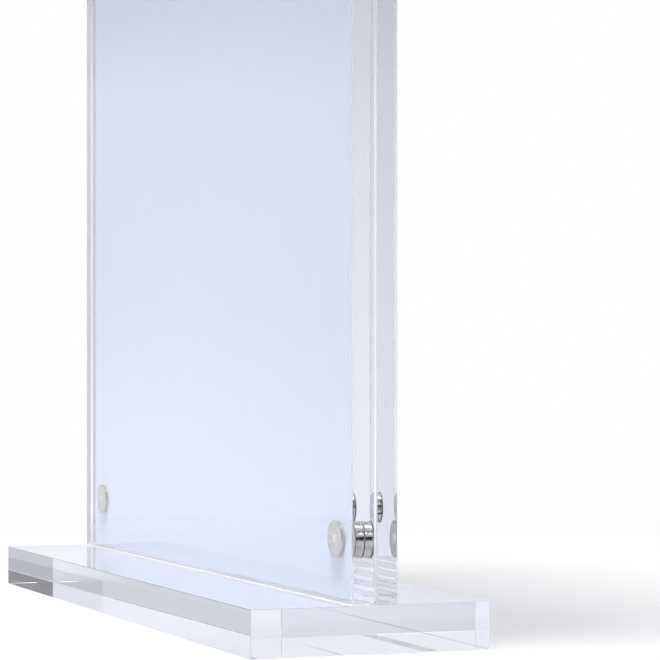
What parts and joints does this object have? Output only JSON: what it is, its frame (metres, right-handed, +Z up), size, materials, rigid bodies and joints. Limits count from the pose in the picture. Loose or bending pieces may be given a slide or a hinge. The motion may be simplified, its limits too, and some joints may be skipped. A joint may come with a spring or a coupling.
{
  "type": "sign holder",
  "caption": "Clear acrylic sign holder: upright panels pinch a display sheet between corner disc magnets, and the rear panel is bonded to a flat base block.",
  "frame": {"origin": "middle of the base block's underside", "axes": "+X to the reader's right along the base, +Y from the reader to the rear, +Z up"},
  "size_m": [0.226, 0.0628, 0.304],
  "materials": {
    "clear_acrylic": "polished",
    "nickel_plate": "polished",
    "white_card": "matte"
  },
  "bodies": {
    "stand": {"base_block": "clear_acrylic", "rear_panel": "clear_acrylic", "rear_magnet_lower_left": "nickel_plate", "rear_magnet_lower_right": "nickel_plate", "rear_magnet_upper_left": "nickel_plate", "rear_magnet_upper_right": "nickel_plate"},
    "front_leaf": {"front_panel": "clear_acrylic", "front_magnet_lower_left": "nickel_plate", "front_magnet_lower_right": "nickel_plate", "front_magnet_upper_left": "nickel_plate", "front_magnet_upper_right": "nickel_plate"},
    "insert": {"sign_insert": "white_card"}
  },
  "joints": [
    {"name": "front_leaf_pull", "type": "slide", "parent": "stand", "child": "front_leaf", "axis": [0, -1, 0], "range_m": [0, 0.08]},
    {"name": "insert_lift", "type": "slide", "parent": "stand", "child": "insert", "axis": [0, 0, 1], "range_m": [0, 0.3]}
  ]
}
